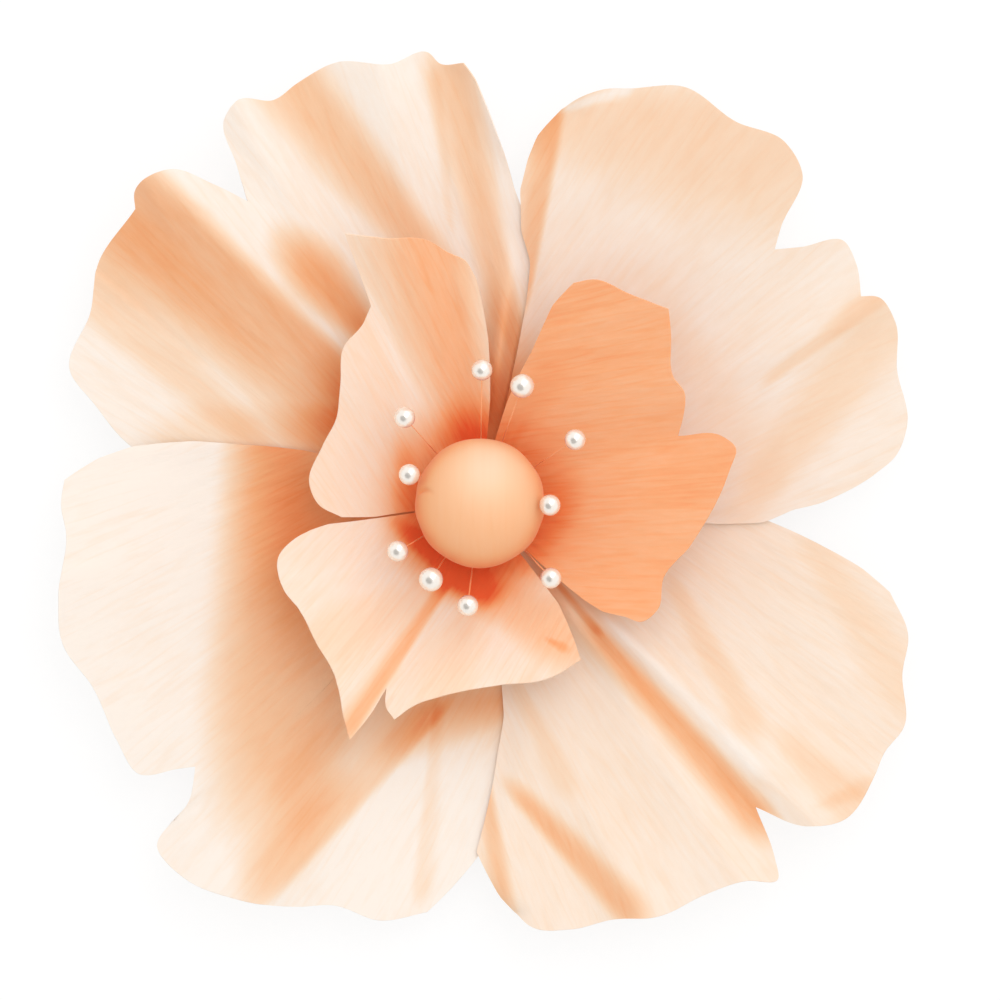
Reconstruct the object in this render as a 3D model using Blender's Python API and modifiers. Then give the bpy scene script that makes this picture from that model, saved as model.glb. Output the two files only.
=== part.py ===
"""A crepe paper flower lying on its back: four broad outer petals and three smaller inner ones, all notched
like hearts, round a paper-covered ball and ten pearl-tipped stamens. Metres, +Z up. The origin is the middle
of the card disc's underside, which is the face that the flower rests on."""

import math

import bmesh
import bpy
import numpy as np

MM = 0.001
DEGREE = math.pi / 180

# The card and the paper
DISC_RADIUS = 22 * MM
DISC_THICKNESS = 1.2 * MM
PAPER = 0.5 * MM
FOLD_ROUNDING = 1.5 * MM
TURN_GROWTH = 0.15
SEAT_GAP = 0.3 * MM
LAP_GAP = 0.4 * MM

# The two rings of petals. Reach is from the flower's axis to the furthest tip, seen from above.
OUTER_REACH = 96 * MM
OUTER_CLAW_RADIUS = 7 * MM
OUTER_RISE = 15 * MM
OUTER_CUP = 1.25
INNER_REACH = 60 * MM
INNER_CLAW_RADIUS = 5 * MM
INNER_FLAT_RADIUS = 8 * MM
INNER_RISE = 30 * MM
INNER_CUP = 1.15

# The covered ball
BALL_RADIUS = 13 * MM
GATHER_ANGLE = 150 * DEGREE

# The stamens
PEARL_RADIUS = 2.1 * MM
BIG_PEARL_RADIUS = 2.4 * MM
FILAMENT_RADIUS = 0.25 * MM
FOOT_INSET = 2.5 * MM
WAIST_CLEARANCE = 1.2 * MM

# Fineness of the surfaces
COLUMN_PITCH = 6 * MM
OUTER_ROWS = 9
INNER_ROWS = 8

# Heights of the layers' middle surfaces, from the card up
OUTER_SEAT = DISC_THICKNESS + SEAT_GAP + PAPER / 2
LAP_STEP = PAPER + LAP_GAP
INNER_SEAT = OUTER_SEAT + LAP_STEP + PAPER + SEAT_GAP
BALL_HEIGHT = INNER_SEAT + PAPER / 2 + SEAT_GAP + BALL_RADIUS

# A petal's outline is read from its clockwise side, round the rim, to its other side. Each point is a share
# of its ring's reach and an angle in degrees round the axis. "sharp" marks a notch or a tip.
# laps says which sides lie over the neighbour. A fold is a ridge from one point to another, its height at
# the rim, and the width of its clockwise and of its counterclockwise flank, all as shares of the reach.
# A turn bends a side up or down: its height, its width and where along the side it starts.
OUTER_PETALS = {
    "petal_outer_upper_left": {
        "right_side": [
            (0.0, 66), (0.43, 70), (0.55, 76), (0.62, 82), (0.66, 83.8), (0.77, 87.4), (0.88, 90.7),
            (0.912, 92.2),
        ],
        "rim": [
            (0.916, 95.2), (0.941, 96.5), (0.929, 101.6), (0.961, 108), (0.95, 113.5), (0.939, 117),
            (0.974, 121), (0.957, 123.6), (0.861, 125.8), (0.79, 127.6, "sharp"), (0.861, 129.9),
            (0.942, 132.9), (0.961, 138), (0.938, 139.5, "sharp"), (0.935, 148), (0.901, 153.8),
            (0.896, 162), (0.826, 165.7), (0.758, 169.7),
        ],
        "left_side": [(0.0, 178), (0.4, 176), (0.69, 173)],
        "laps": (0, 0),
        "folds": [
            ((0.30, 135), (0.90, 134.5), 0.10, 0.22, 0.26),
            ((0.30, 105), (0.93, 103), 0.038, 0.11, 0.21),
            ((0.40, 123), (0.95, 121.5), 0.035, 0.13, 0.10),
        ],
        "turns": ((0.03, 0.06, 0.66), (0.0, 0.05, 0.66)),
    },
    "petal_outer_lower_left": {
        "right_side": [
            (0.0, 160), (0.38, 163.3), (0.51, 166.2), (0.61, 167.8), (0.73, 170.7), (0.80, 173.4),
            (0.863, 176.8),
        ],
        "rim": [
            (0.868, 180), (0.86, 184.4), (0.894, 192.5), (0.9125, 198.6), (0.889, 205.7), (0.90, 213.1),
            (0.904, 218.5), (0.835, 221.4), (0.806, 222.8, "sharp"), (0.859, 225.5), (0.979, 226.9),
            (0.99, 231.7), (0.96, 239), (0.92, 245.6), (0.889, 250.1), (0.892, 256.4),
        ],
        "left_side": [
            (0.0, 290), (0.5, 281), (0.65, 275), (0.725, 270.3), (0.785, 266.8), (0.857, 262.6),
        ],
        "laps": (1, 0),
        "folds": [
            ((0.40, 257), (0.96, 241), 0.05, 0.30, 0.13),
            ((0.50, 190), (0.95, 190), 0.06, 0.60, 0.60),
        ],
        "turns": ((0.0, 0.05, 0.5), (0.0, 0.05, 0.5)),
    },
    "petal_outer_lower_right": {
        "right_side": [
            (0.0, 279), (0.447, 276.4), (0.52, 274.1), (0.65, 271.1), (0.725, 269.4), (0.818, 272.9),
            (0.853, 275),
        ],
        "rim": [
            (0.883, 276.6), (0.905, 282), (0.907, 287.6), (0.934, 293.5), (0.937, 300), (0.958, 305.2),
            (0.995, 308.4), (0.958, 309.7), (0.852, 312.2, "sharp"), (0.954, 315.4), (1.0, 319),
            (0.995, 325.4), (0.986, 328.3), (0.995, 332.1), (0.945, 338.1), (0.93, 342.9),
        ],
        "left_side": [(0.0, 362), (0.52, 359), (0.6, 356.5), (0.72, 352.8), (0.803, 350.4), (0.872, 347.7)],
        "laps": (1, 0),
        "folds": [
            ((0.25, 319), (0.86, 316.5), 0.032, 0.08, 0.22),
            ((0.25, 309), (0.86, 305), 0.032, 0.20, 0.09),
            ((0.45, 285), (0.92, 291.5), 0.032, 0.10, 0.20),
        ],
        "turns": ((-0.02, 0.05, 0.72), (0.0, 0.05, 0.5)),
    },
    "petal_outer_upper_right": {
        "right_side": [(0.0, -7), (0.5, -5), (0.59, -4), (0.65, -1.3), (0.71, 0), (0.78, 2.4), (0.815, 3.8)],
        "rim": [
            (0.871, 6.6), (0.902, 10.4), (0.909, 17.7), (0.94, 23.7), (0.929, 27.4), (0.899, 28.5, "sharp"),
            (0.925, 32.4), (0.931, 35.7), (0.852, 38.6), (0.808, 40.7, "sharp"), (0.848, 42.5),
            (0.956, 45.6), (0.98, 49.9), (0.953, 56.1), (0.961, 64), (0.917, 69.8), (0.896, 73.4),
            (0.86, 76.7),
        ],
        "left_side": [
            (0.0, 74), (0.43, 77), (0.513, 78.2), (0.573, 81.4), (0.657, 82.7), (0.722, 82), (0.772, 81),
            (0.836, 78.2),
        ],
        "laps": (1, 1),
        "folds": [
            ((0.45, 25), (0.93, 27), 0.02, 0.10, 0.10),
        ],
        "turns": ((0.0, 0.05, 0.5), (-0.03, 0.07, 0.66)),
    },
}

INNER_PETALS = {
    "petal_inner_upper_left": {
        "right_side": [(0.0, 83), (0.345, 84.4), (0.545, 87.1), (0.743, 91)],
        "rim": [
            (0.802, 93.6), (0.83, 96.9), (0.88, 100.9), (0.932, 110.3), (0.995, 116.6, "sharp"),
            (0.83, 117.9), (0.747, 118.9, "sharp"), (0.708, 123.1), (0.687, 131), (0.608, 139.7),
            (0.553, 149.6), (0.555, 160), (0.57, 173), (0.535, 180.5),
        ],
        "left_side": [(0.0, 185.5), (0.35, 187.5), (0.463, 185.8)],
        "laps": (0, 0),
        "folds": [
            ((0.20, 122), (0.80, 118), -0.08, 0.20, 0.20),
            ((0.30, 97), (0.80, 97), -0.03, 0.10, 0.12),
        ],
        "turns": ((0.0, 0.05, 0.5), (0.0, 0.05, 0.5)),
    },
    "petal_inner_lower_left": {
        "right_side": [(0.0, 189), (0.422, 188.2), (0.508, 187.9), (0.57, 189.1)],
        "rim": [
            (0.622, 190.8), (0.692, 195.1), (0.71, 203.2), (0.695, 210.3), (0.712, 221), (0.742, 229.4),
            (0.842, 237.9), (0.893, 241.2, "sharp"), (0.79, 242.6), (0.69, 243.2, "sharp"),
            (0.747, 245.5), (0.77, 248.4, "sharp"), (0.715, 251.2), (0.647, 259.9), (0.607, 276.3),
            (0.623, 291.3),
        ],
        "left_side": [(0.0, 309), (0.42, 308), (0.618, 302.7)],
        "laps": (0, 0),
        "folds": [
            ((0.20, 244), (0.80, 243), -0.08, 0.20, 0.20),
        ],
        "turns": ((0.0, 0.05, 0.5), (0.0, 0.05, 0.5)),
    },
    "petal_inner_right": {
        "right_side": [(0.0, -48), (0.47, -43), (0.543, -41.5), (0.61, -38.1)],
        "rim": [
            (0.663, -36.4), (0.685, -31), (0.655, -22), (0.708, -11.7), (0.78, 0), (0.832, 7.8),
            (0.863, 12.3), (0.828, 15.6), (0.693, 18.7, "sharp"), (0.735, 23.4), (0.77, 28.5),
            (0.765, 33), (0.843, 41.6), (0.893, 45.8, "sharp"), (0.847, 54.6), (0.827, 63.1),
        ],
        "left_side": [(0.0, 79), (0.35, 75), (0.535, 71.1), (0.697, 69.8), (0.79, 66.9)],
        "laps": (0, 0),
        "folds": [
            ((0.20, 20), (0.70, 18.7), -0.05, 0.20, 0.20),
        ],
        "turns": ((0.0, 0.05, 0.5), (0.0, 0.05, 0.5)),
    },
}

# Each stamen leans out at an angle round the axis. Its pearl's middle is so far outside the ball's side and
# so far above the ball's middle.
STAMENS = [
    (89.1, 13.4 * MM, 6.0 * MM, PEARL_RADIUS),
    (70.1, 11.7 * MM, 6.5 * MM, BIG_PEARL_RADIUS),
    (33.6, 9.7 * MM, 7.0 * MM, PEARL_RADIUS),
    (358.3, 0.9 * MM, 7.2 * MM, PEARL_RADIUS),
    (313.4, 7.5 * MM, 6.0 * MM, PEARL_RADIUS),
    (263.3, 7.5 * MM, 5.0 * MM, PEARL_RADIUS),
    (237.4, 5.0 * MM, 6.5 * MM, BIG_PEARL_RADIUS),
    (210.4, 5.9 * MM, 5.5 * MM, PEARL_RADIUS),
    (158.0, 2.1 * MM, 6.0 * MM, PEARL_RADIUS),
    (131.3, 9.6 * MM, 6.5 * MM, PEARL_RADIUS),
]


def clear_scene():
    for item in list(bpy.data.objects):
        bpy.data.objects.remove(item, do_unlink=True)


def material(name, colour, roughness):
    """A Principled material of one colour."""
    made = bpy.data.materials.new(name)
    made.use_nodes = True
    shader = made.node_tree.nodes["Principled BSDF"]
    shader.inputs["Base Color"].default_value = (*colour, 1.0)
    shader.inputs["Roughness"].default_value = roughness
    shader.inputs["Metallic"].default_value = 0.0
    return made


def add_object(name, data, finish):
    made = bpy.data.objects.new(name, data)
    made.data.materials.append(finish)
    bpy.data.collections["crepe_paper_flower"].objects.link(made)
    return made


def mesh_object(name, shape, finish):
    """An object from a bmesh, shaded smooth."""
    mesh = bpy.data.meshes.new(name)
    shape.to_mesh(mesh)
    shape.free()
    mesh.shade_smooth()
    return add_object(name, mesh, finish)


def smoothstep(x):
    x = np.clip(x, 0.0, 1.0)
    return x * x * (3 - 2 * x)


def plan_points(polar, reach):
    """Plan x and y of (share of reach, degrees) points."""
    shares = np.array([point[0] for point in polar])
    angles = np.array([point[1] for point in polar]) * DEGREE
    return reach * np.stack([shares * np.cos(angles), shares * np.sin(angles)], axis=1)


def smooth_run(points, pitch):
    """A smooth curve through the points, in steps of about the pitch. It leaves out the last point."""
    along = np.concatenate([[0.0], np.cumsum(np.linalg.norm(np.diff(points, axis=0), axis=1))])
    slopes = np.gradient(points, along, axis=0)
    samples = []
    for i in range(len(points) - 1):
        length = along[i + 1] - along[i]
        steps = max(1, round(length / pitch))
        for u in np.arange(steps) / steps:
            samples.append(
                (2 * u**3 - 3 * u**2 + 1) * points[i]
                + (u**3 - 2 * u**2 + u) * length * slopes[i]
                + (3 * u**2 - 2 * u**3) * points[i + 1]
                + (u**3 - u**2) * length * slopes[i + 1]
            )
    return samples


def rim_curve(petal, reach):
    """Points along the rim from the clockwise corner to the other, smooth but for the sharp ones."""
    polar = [petal["right_side"][-1], *petal["rim"], petal["left_side"][-1]]
    plan = plan_points(polar, reach)
    corners = [i for i, point in enumerate(polar) if len(point) == 3]
    ends = [0, *corners, len(polar) - 1]
    samples = []
    for first, last in zip(ends, ends[1:]):
        samples += smooth_run(plan[first : last + 1], COLUMN_PITCH)
    return np.array([*samples, plan[-1]])


def side_angle(side, shares):
    """The angle of a petal's side at these shares of the reach."""
    return np.interp(shares, [point[0] for point in side], [point[1] for point in side]) * DEGREE


def petal_plan(petal, reach, claw, rows):
    """Plan x and y of the petal's grid, and each point's share of the way between the two sides."""
    rim = rim_curve(petal, reach)
    radius = np.linalg.norm(rim, axis=1)
    angle = np.arctan2(rim[:, 1], rim[:, 0])
    right = side_angle(petal["right_side"], radius / reach)
    left = side_angle(petal["left_side"], radius / reach)
    middle = (right + left) / 2
    angle = middle + np.mod(angle - middle + math.pi, 2 * math.pi) - math.pi
    across = (angle - right) / (left - right)
    along = np.linspace(0, 1, rows + 1)[:, None]
    radii = claw + (radius[None, :] - claw) * along
    lean_right = side_angle(petal["right_side"], radii / reach) - right
    lean_left = side_angle(petal["left_side"], radii / reach) - left
    angles = angle + lean_right * (1 - across) ** 2 + lean_left * across**2
    return radii * np.cos(angles), radii * np.sin(angles), np.broadcast_to(across, radii.shape)


def fold_height(fold, x, y, reach):
    """How far a fold lifts the paper at plan x and y."""
    start, end, height, right_width, left_width = fold
    (x0, y0), (x1, y1) = plan_points([start, end], reach)
    length = math.hypot(x1 - x0, y1 - y0)
    along = ((x - x0) * (x1 - x0) + (y - y0) * (y1 - y0)) / length**2
    off = ((x1 - x0) * (y - y0) - (y1 - y0) * (x - x0)) / length
    width = reach * np.where(off > 0, left_width, right_width)
    away = np.sqrt(off**2 + FOLD_ROUNDING**2) - FOLD_ROUNDING
    return reach * height * smoothstep(along) * np.clip(1 - away / width, 0, None) ** 2


def cup_height(radii, flat, reach, rise, cup):
    """The shallow bowl that a ring of petals makes."""
    return rise * np.clip((radii - flat) / (reach - flat), 0, None) ** cup


def petal_height(petal, x, y, across, reach, seat, flat, rise, cup):
    """The height of the petal's middle surface."""
    radii = np.hypot(x, y)
    right_lap, left_lap = petal["laps"]
    lap = right_lap + (left_lap - right_lap) * smoothstep((across - 0.2) / 0.6)
    height = seat + lap * LAP_STEP + cup_height(radii, flat, reach, rise, cup)
    calm = smoothstep(across / 0.14 + right_lap) * smoothstep((1 - across) / 0.14 + left_lap)
    for fold in petal["folds"]:
        height = height + calm * fold_height(fold, x, y, reach)
    right_angle = side_angle(petal["right_side"], radii / reach)
    span = (side_angle(petal["left_side"], radii / reach) - right_angle) * radii
    for (turn, width, start), away in zip(petal["turns"], (across * span, (1 - across) * span)):
        grown = smoothstep((radii / reach - start) / TURN_GROWTH)
        height = height + turn * reach * grown * np.clip(1 - away / (width * reach), 0, None) ** 2
    return height


def build_petal(name, petal, ring, rows, finish):
    """A grid draped over the petal's surface and given the paper's thickness."""
    reach, claw = ring["reach"], ring["claw"]
    x, y, across = petal_plan(petal, reach, claw, rows)
    z = petal_height(petal, x, y, across, reach, ring["seat"], ring["flat"], ring["rise"], ring["cup"])
    columns = x.shape[1] - 1
    shape = bmesh.new()
    bmesh.ops.create_grid(shape, x_segments=columns, y_segments=rows, size=1.0)
    for vertex in shape.verts:
        column = round((1 - vertex.co.x) / 2 * columns)
        row = round((vertex.co.y + 1) / 2 * rows)
        vertex.co = (x[row, column], y[row, column], z[row, column])
    made = mesh_object(name, shape, finish)
    wall = made.modifiers.new("paper", "SOLIDIFY")
    wall.thickness = PAPER
    wall.offset = 0.0
    return made


def build_disc(finish):
    shape = bmesh.new()
    bmesh.ops.create_cone(
        shape, cap_ends=True, segments=32, radius1=DISC_RADIUS, radius2=DISC_RADIUS, depth=DISC_THICKNESS
    )
    bmesh.ops.translate(shape, verts=shape.verts, vec=(0, 0, DISC_THICKNESS / 2))
    return mesh_object("backing_disc", shape, finish)


def build_ball_core(finish):
    """The foam ball, which the cover clears all round."""
    shape = bmesh.new()
    radius = BALL_RADIUS - PAPER - SEAT_GAP
    bmesh.ops.create_uvsphere(shape, u_segments=20, v_segments=12, radius=radius)
    bmesh.ops.translate(shape, verts=shape.verts, vec=(0, 0, BALL_HEIGHT))
    return mesh_object("ball_core", shape, finish)


def build_ball_cover(finish):
    """Crepe stretched over the ball. Below, it ends in the round opening where its edge is gathered."""
    shape = bmesh.new()
    bmesh.ops.create_uvsphere(shape, u_segments=24, v_segments=18, radius=BALL_RADIUS)
    lowest = BALL_RADIUS * math.cos(GATHER_ANGLE) - 0.1 * MM
    below = [vertex for vertex in shape.verts if vertex.co.z < lowest]
    bmesh.ops.delete(shape, geom=below, context="VERTS")
    bmesh.ops.translate(shape, verts=shape.verts, vec=(0, 0, BALL_HEIGHT))
    made = mesh_object("ball_cover", shape, finish)
    wall = made.modifiers.new("paper", "SOLIDIFY")
    wall.thickness = PAPER
    wall.offset = -1.0
    return made


def stamen_place(angle, radius, height):
    return (radius * math.cos(angle), radius * math.sin(angle), height)


def build_stamen(number, angle, out, above, pearl_radius, thread, lacquer):
    """A thread that rises from under the ball, passes its side and carries a pearl."""
    angle *= DEGREE
    pearl_at = np.array(stamen_place(angle, BALL_RADIUS + out, BALL_HEIGHT + above))
    shape = bmesh.new()
    bmesh.ops.create_uvsphere(shape, u_segments=10, v_segments=7, radius=pearl_radius)
    bmesh.ops.translate(shape, verts=shape.verts, vec=pearl_at)
    mesh_object(f"pearl_{number:02d}", shape, lacquer)

    foot_radius = BALL_RADIUS - FOOT_INSET
    bowl = cup_height(foot_radius, INNER_FLAT_RADIUS, INNER_REACH, INNER_RISE, INNER_CUP)
    foot_height = INNER_SEAT + bowl + PAPER / 2 + SEAT_GAP + 2 * FILAMENT_RADIUS
    foot = np.array(stamen_place(angle, foot_radius, foot_height))
    waist_radius = BALL_RADIUS + WAIST_CLEARANCE + out * 0.18
    waist = np.array(stamen_place(angle, waist_radius, BALL_HEIGHT - 1 * MM))
    lean = pearl_at - waist
    tip = pearl_at - lean / np.linalg.norm(lean) * (pearl_radius + SEAT_GAP)
    curve = bpy.data.curves.new(f"filament_{number:02d}", "CURVE")
    curve.dimensions = "3D"
    curve.bevel_depth = FILAMENT_RADIUS
    curve.bevel_resolution = 2
    curve.use_fill_caps = True
    knees = [foot, (foot + waist) / 2 + np.array(stamen_place(angle, 0.6 * MM, -0.6 * MM)), waist, tip]
    run = [*smooth_run(np.array(knees), 1.0), knees[-1]]
    spline = curve.splines.new("POLY")
    spline.points.add(len(run) - 1)
    for point, place in zip(spline.points, run):
        point.co = (*place, 1.0)
    add_object(f"filament_{number:02d}", curve, thread)


def build_flower():
    clear_scene()
    flower = bpy.data.collections.new("crepe_paper_flower")
    bpy.context.scene.collection.children.link(flower)
    card = material("card", (0.86, 0.62, 0.45), 0.85)
    outer_crepe = material("outer_crepe", (0.97, 0.73, 0.56), 0.8)
    inner_crepe = material("inner_crepe", (0.97, 0.6, 0.38), 0.8)
    ball_crepe = material("ball_crepe", (0.97, 0.56, 0.33), 0.75)
    foam = material("foam", (0.95, 0.94, 0.92), 0.9)
    thread = material("thread", (0.95, 0.85, 0.74), 0.6)
    lacquer = material("pearl_lacquer", (0.95, 0.9, 0.85), 0.2)

    outer_ring = {
        "reach": OUTER_REACH, "claw": OUTER_CLAW_RADIUS, "seat": OUTER_SEAT,
        "flat": DISC_RADIUS, "rise": OUTER_RISE, "cup": OUTER_CUP,
    }
    inner_ring = {
        "reach": INNER_REACH, "claw": INNER_CLAW_RADIUS, "seat": INNER_SEAT,
        "flat": INNER_FLAT_RADIUS, "rise": INNER_RISE, "cup": INNER_CUP,
    }
    build_disc(card)
    for name, petal in OUTER_PETALS.items():
        build_petal(name, petal, outer_ring, OUTER_ROWS, outer_crepe)
    for name, petal in INNER_PETALS.items():
        build_petal(name, petal, inner_ring, INNER_ROWS, inner_crepe)
    build_ball_core(foam)
    build_ball_cover(ball_crepe)
    for number, stamen in enumerate(STAMENS, start=1):
        build_stamen(number, *stamen, thread, lacquer)


build_flower()
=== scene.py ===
# %% [markdown]
# # A crepe paper flower, seen from straight above
# The real flower is cut by hand from stretched crepe paper. Four broad petals and three smaller ones are
# glued by their narrow ends to a card disc, round a foam ball covered with the same paper. Ten stamens, each
# a stiff thread with a pearl at its tip, stand between the ball and the petals.
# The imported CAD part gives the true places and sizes. Everything here is built round it, in metres, +Z up.

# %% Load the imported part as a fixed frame
import math

import bmesh
import bpy
import numpy as np
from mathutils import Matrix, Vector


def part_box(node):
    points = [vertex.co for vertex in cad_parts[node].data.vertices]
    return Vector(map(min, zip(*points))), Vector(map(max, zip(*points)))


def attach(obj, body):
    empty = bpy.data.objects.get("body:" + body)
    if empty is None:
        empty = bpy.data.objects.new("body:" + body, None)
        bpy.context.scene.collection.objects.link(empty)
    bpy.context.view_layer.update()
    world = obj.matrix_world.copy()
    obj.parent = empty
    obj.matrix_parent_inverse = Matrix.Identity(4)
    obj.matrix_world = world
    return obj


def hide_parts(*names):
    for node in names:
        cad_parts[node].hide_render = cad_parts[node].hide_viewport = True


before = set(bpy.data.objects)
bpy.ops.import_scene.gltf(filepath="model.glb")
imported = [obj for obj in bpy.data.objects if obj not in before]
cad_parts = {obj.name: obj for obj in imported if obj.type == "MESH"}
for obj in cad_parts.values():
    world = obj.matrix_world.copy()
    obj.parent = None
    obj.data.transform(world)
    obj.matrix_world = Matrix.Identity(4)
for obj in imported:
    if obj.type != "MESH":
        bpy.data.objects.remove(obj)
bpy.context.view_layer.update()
MM = 0.001
DEGREE = math.pi / 180
print("pieces in the frame:", len(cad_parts))

# %% [markdown]
# ## The petals' outlines and folds
# A petal is a flat cut shape that was then cupped and folded by hand. Its outline is a short list of points,
# each a share of its ring's reach and an angle round the flower, with "sharp" at a notch or a tip. A fold is
# a ridge between two such points, with its height and the widths of its two flanks as shares of the reach. A
# turn lifts or lowers one side of the petal: its height, its width and where it starts. All these have the
# CAD part's values, so that the fine petals lie where the solid ones do. Creases and humps are only in this
# script, and are written like folds. A crease is a short line too fine for the solids. A hump swells up in
# the gap between two smaller petals, where the paper of the broad petal behind them catches the light.

# %% Sizes of the two rings
PAPER = 0.5 * MM
FOLD_ROUNDING = 1.5 * MM
TURN_GROWTH = 0.15
LAP_STEP = 0.9 * MM
OUTER_RING = {
    "reach": 96 * MM, "claw": 7 * MM, "seat": 1.75 * MM, "flat": 22 * MM, "rise": 15 * MM, "cup": 1.25,
}
INNER_RING = {
    "reach": 60 * MM, "claw": 5 * MM, "seat": 3.45 * MM, "flat": 8 * MM, "rise": 30 * MM, "cup": 1.15,
}

# %% The outer petals
OUTER_PETALS = {
    "petal_outer_upper_left": {
        "right_side": [(0.0, 66), (0.43, 70), (0.55, 76), (0.62, 82), (0.66, 83.8), (0.77, 87.4),
            (0.88, 90.7), (0.912, 92.2)],
        "rim": [(0.916, 95.2), (0.941, 96.5), (0.929, 101.6), (0.961, 108), (0.95, 113.5), (0.939, 117),
            (0.974, 121), (0.957, 123.6), (0.861, 125.8), (0.79, 127.6, "sharp"), (0.861, 129.9),
            (0.942, 132.9), (0.961, 138), (0.938, 139.5, "sharp"), (0.935, 148), (0.901, 153.8),
            (0.896, 162), (0.826, 165.7), (0.758, 169.7)],
        "left_side": [(0.0, 178), (0.4, 176), (0.69, 173)],
        "folds": [
            ((0.30, 135), (0.90, 134.5), 0.10, 0.22, 0.26),
            ((0.30, 105), (0.93, 103), 0.038, 0.11, 0.21),
            ((0.40, 123), (0.95, 121.5), 0.035, 0.13, 0.10),
        ],
        "turns": ((0.03, 0.06, 0.66), (0.0, 0.05, 0.66)),
        "creases": [
            ((0.50, 94.6), (0.94, 96.5), -0.004, 0.010, 0.022),
            ((0.46, 88.7), (0.675, 94.4), 0.004, 0.020, 0.020),
            ((0.80, 139.5), (0.95, 136.5), 0.010, 0.040, 0.030),
            ((0.50, 157), (0.80, 150.2), -0.004, 0.015, 0.020),
            ((0.60, 153), (0.92, 149.4), 0.004, 0.020, 0.020),
        ],
        "humps": [((0.15, 81.5), (0.62, 82.5), 0.060, 0.028, 0.045)],
    },
    "petal_outer_lower_left": {
        "right_side": [(0.0, 160), (0.38, 163.3), (0.51, 166.2), (0.61, 167.8), (0.73, 170.7),
            (0.80, 173.4), (0.863, 176.8)],
        "rim": [(0.868, 180), (0.86, 184.4), (0.894, 192.5), (0.9125, 198.6), (0.889, 205.7), (0.90, 213.1),
            (0.904, 218.5), (0.835, 221.4), (0.806, 222.8, "sharp"), (0.859, 225.5), (0.979, 226.9),
            (0.99, 231.7), (0.96, 239), (0.92, 245.6), (0.889, 250.1), (0.892, 256.4)],
        "left_side": [(0.0, 290), (0.5, 281), (0.65, 275), (0.725, 270.3), (0.785, 266.8), (0.857, 262.6)],
        "laps": (1, 0),
        "folds": [
            ((0.40, 257), (0.96, 241), 0.05, 0.30, 0.13),
            ((0.50, 190), (0.95, 190), 0.06, 0.60, 0.60),
        ],
        "creases": [((0.40, 259.9), (0.84, 261.4), -0.003, 0.012, 0.020)],
    },
    "petal_outer_lower_right": {
        "right_side": [(0.0, 279), (0.447, 276.4), (0.52, 274.1), (0.65, 271.1), (0.725, 269.4),
            (0.818, 272.9), (0.853, 275)],
        "rim": [(0.883, 276.6), (0.905, 282), (0.907, 287.6), (0.934, 293.5), (0.937, 300), (0.958, 305.2),
            (0.995, 308.4), (0.958, 309.7), (0.852, 312.2, "sharp"), (0.954, 315.4), (1.0, 319),
            (0.995, 325.4), (0.986, 328.3), (0.995, 332.1), (0.945, 338.1), (0.93, 342.9)],
        "left_side": [(0.0, 362), (0.52, 359), (0.6, 356.5), (0.72, 352.8), (0.803, 350.4), (0.872, 347.7)],
        "laps": (1, 0),
        "folds": [
            ((0.25, 319), (0.86, 316.5), 0.032, 0.08, 0.22),
            ((0.25, 309), (0.86, 305), 0.032, 0.20, 0.09),
            ((0.45, 285), (0.92, 291.5), 0.032, 0.10, 0.20),
        ],
        "turns": ((-0.02, 0.05, 0.72), (0.0, 0.05, 0.5)),
        "humps": [
            ((0.15, 309.5), (0.60, 309.3), 0.050, 0.045, 0.035),
            ((0.22, 318), (0.64, 317), 0.034, 0.034, 0.034),
        ],
    },
    "petal_outer_upper_right": {
        "right_side": [(0.0, -7), (0.5, -5), (0.59, -4), (0.65, -1.3), (0.71, 0), (0.78, 2.4), (0.815, 3.8)],
        "rim": [(0.871, 6.6), (0.902, 10.4), (0.909, 17.7), (0.94, 23.7), (0.929, 27.4),
            (0.899, 28.5, "sharp"), (0.925, 32.4), (0.931, 35.7), (0.852, 38.6), (0.808, 40.7, "sharp"),
            (0.848, 42.5), (0.956, 45.6), (0.98, 49.9), (0.953, 56.1), (0.961, 64), (0.917, 69.8),
            (0.896, 73.4), (0.86, 76.7)],
        "left_side": [(0.0, 74), (0.43, 77), (0.513, 78.2), (0.573, 81.4), (0.657, 82.7), (0.722, 82),
            (0.772, 81), (0.836, 78.2)],
        "laps": (1, 1),
        "folds": [((0.45, 25), (0.93, 27), 0.02, 0.10, 0.10)],
        "turns": ((0.0, 0.05, 0.5), (-0.03, 0.07, 0.66)),
    },
}

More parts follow.
